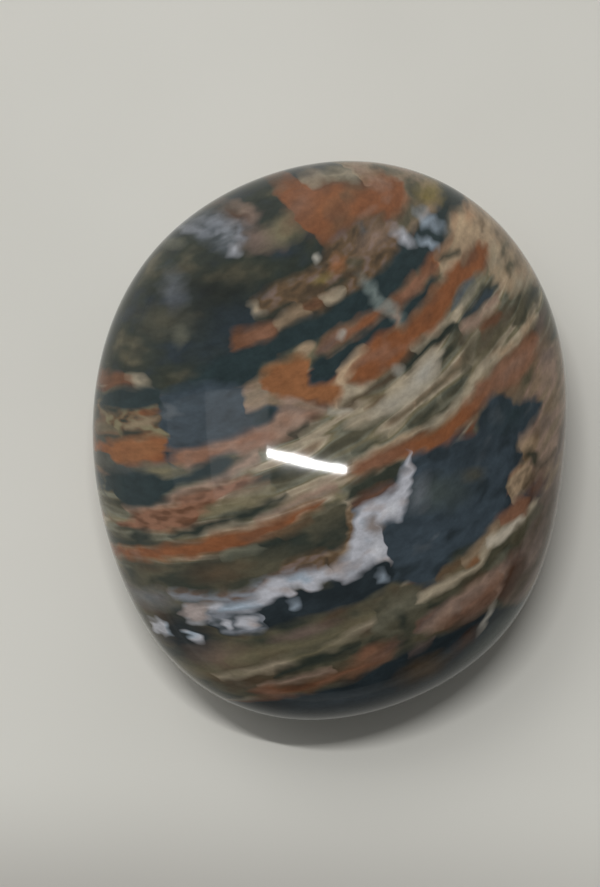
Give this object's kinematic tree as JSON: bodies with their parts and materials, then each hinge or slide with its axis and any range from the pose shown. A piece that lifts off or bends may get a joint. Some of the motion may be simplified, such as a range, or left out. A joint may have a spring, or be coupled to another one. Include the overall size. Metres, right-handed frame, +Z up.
{
  "type": "palm stone",
  "caption": "Polished oval palm stone of banded ocean jasper, domed on both sides, resting on a small flat spot on its belly.",
  "frame": {"origin": "middle of the stone's footprint, on the surface that it rests on", "axes": "+Z up out of the crown, +Y along the length, towards the top of the picture, +X across it, to the picture's right"},
  "size_m": [0.05, 0.0604, 0.025],
  "materials": {
    "polished_jasper": "high polish; slate-blue chalcedony, rust, tan, cream and olive bands, and a lavender-white quartz seam"
  },
  "bodies": {
    "root": {"palm_stone": "polished_jasper"}
  },
  "joints": []
}
